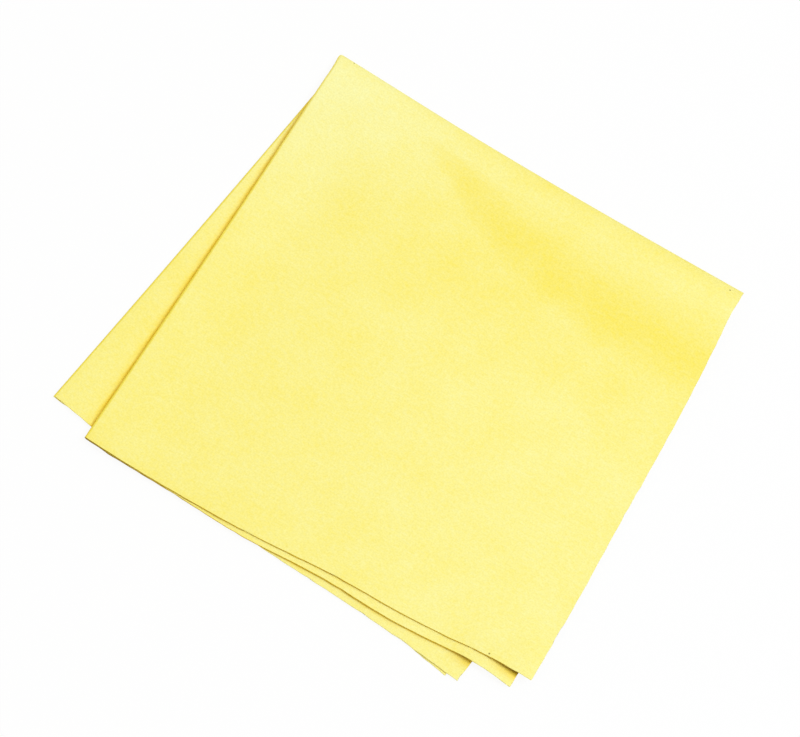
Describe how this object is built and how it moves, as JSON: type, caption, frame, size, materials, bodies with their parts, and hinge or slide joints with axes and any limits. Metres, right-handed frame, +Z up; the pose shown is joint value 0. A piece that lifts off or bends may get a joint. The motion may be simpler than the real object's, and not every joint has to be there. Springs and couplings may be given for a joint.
{
  "type": "microfibre cleaning cloth",
  "caption": "Thin square microfibre cleaning cloth with raw cut edges, folded twice into quarters; the upper half of the stack swings open about the back fold.",
  "frame": {"origin": "centre of the folded cloth's box, on the plane of its underside", "axes": "+X along the back fold, away from the side fold; +Y from the free front edges towards the back fold; +Z up through the layers"},
  "size_m": [0.228, 0.2052, 0.0086],
  "materials": {
    "microfibre": "matte, finely mottled non-woven microfibre with a suede nap and raw cut edges"
  },
  "bodies": {
    "lower_half": {"bottom_layer": "microfibre", "third_layer": "microfibre", "lower_side_fold": "microfibre", "outer_back_fold_lower": "microfibre", "inner_back_fold_lower": "microfibre"},
    "upper_half": {"second_layer": "microfibre", "top_layer": "microfibre", "upper_side_fold": "microfibre", "outer_back_fold_upper": "microfibre", "inner_back_fold_upper": "microfibre"}
  },
  "joints": [
    {"name": "back_fold_open", "type": "hinge", "parent": "lower_half", "child": "upper_half", "pos_m": [-0.10317, 0.1027, 0.0034], "axis": [-1, 0, 0], "range_deg": [0, 178]}
  ]
}
